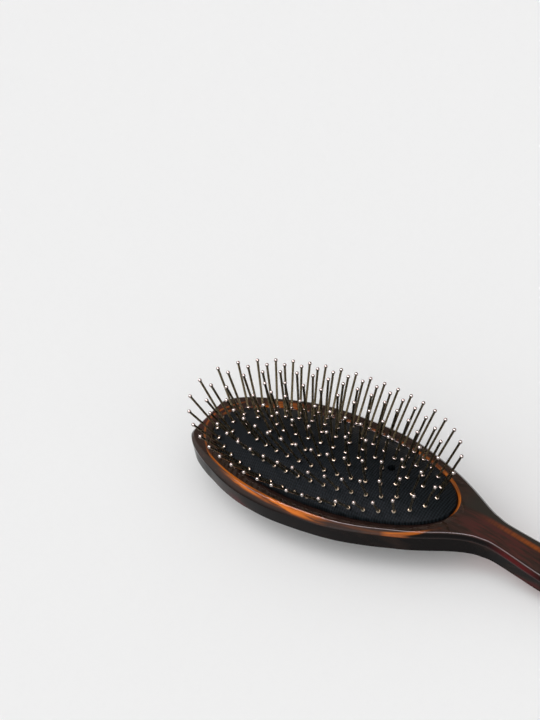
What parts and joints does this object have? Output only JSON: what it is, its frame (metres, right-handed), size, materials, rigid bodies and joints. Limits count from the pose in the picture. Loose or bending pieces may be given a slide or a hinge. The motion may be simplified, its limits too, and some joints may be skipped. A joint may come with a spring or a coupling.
{
  "type": "scalp massage brush",
  "caption": "Oval air-cushion hair and scalp brush: one-piece tortoiseshell handle, domed black rubber cushion in its recess, and polished steel ball-tipped pins that sink with the cushion.",
  "frame": {"origin": "on the surface the brush lies on, under the middle of its length and width", "axes": "+X from the pad towards the end of the handle, +Y across, +Z out of the pad along its pins"},
  "size_m": [0.2246, 0.0604, 0.0449],
  "materials": {
    "tortoiseshell": "polished translucent brown plastic with amber and near-black streaks",
    "rubber": "matt black with a fine diagonal rib",
    "steel": "polished wire with ball tips"
  },
  "bodies": {
    "handle": {"handle_body": "tortoiseshell", "rubber_cushion": "rubber"},
    "pin_bed": {"pins_outer_1": "steel", "pins_outer_2": "steel", "pins_outer_3": "steel", "pins_outer_4": "steel", "pins_outer_5": "steel", "pins_outer_6": "steel", "pins_outer_7": "steel", "pins_outer_8": "steel", "pins_second_1": "steel", "pins_second_2": "steel", "pins_second_3": "steel", "pins_second_4": "steel", "pins_second_5": "steel", "pins_second_6": "steel", "pins_second_7": "steel", "pins_third_1": "steel", "pins_third_2": "steel", "pins_third_3": "steel", "pins_third_4": "steel", "pins_third_5": "steel", "pins_third_6": "steel", "pins_inner_1": "steel", "pins_inner_2": "steel", "pins_inner_3": "steel", "pins_inner_4": "steel", "pins_inner_5": "steel", "pins_middle_1": "steel", "pins_middle_2": "steel"}
  },
  "joints": [
    {"name": "cushion_press", "type": "slide", "parent": "handle", "child": "pin_bed", "axis": [0, 0, -1], "range_m": [0, 0.002], "stiffness_N_per_m": 3000, "deforming": ["rubber_cushion"]}
  ]
}
